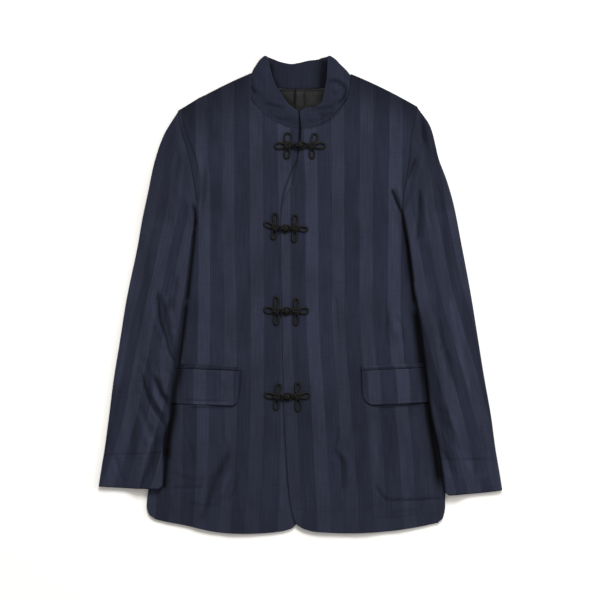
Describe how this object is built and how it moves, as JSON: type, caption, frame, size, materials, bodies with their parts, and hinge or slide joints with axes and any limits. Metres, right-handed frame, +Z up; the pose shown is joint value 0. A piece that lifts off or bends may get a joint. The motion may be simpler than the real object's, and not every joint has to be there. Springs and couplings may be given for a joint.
{
  "type": "stand-collar jacket",
  "caption": "Long-sleeved hip-length jacket with a stand collar, knotted cord closures and flap pockets, laid flat with its front up.",
  "frame": {"origin": "on the surface that the jacket lies on, below the middle of its outline", "axes": "+Z up off the surface, +Y from hem to collar, +X towards the wearer's left side, which is on the viewer's right"},
  "size_m": [0.667, 0.7904, 0.0153],
  "materials": {
    "striped_linen": "matt navy linen with tone-on-tone woven stripes",
    "dark_lining": "smooth black lining with a slight sheen",
    "black_cord": "matt black rolled fabric cord"
  },
  "bodies": {
    "root": {"back": "striped_linen", "front_right": "striped_linen", "front_left": "striped_linen", "sleeve_right": "striped_linen", "sleeve_left": "striped_linen", "collar_right": "striped_linen", "collar_left": "striped_linen", "collar_back": "striped_linen", "neck_lining": "dark_lining", "flap_right": "striped_linen", "flap_left": "striped_linen", "jet_right": "striped_linen", "jet_left": "striped_linen", "closure_1_knot": "black_cord", "closure_1_loop": "black_cord", "closure_2_knot": "black_cord", "closure_2_loop": "black_cord", "closure_3_knot": "black_cord", "closure_3_loop": "black_cord", "closure_4_knot": "black_cord", "closure_4_loop": "black_cord"}
  },
  "joints": []
}
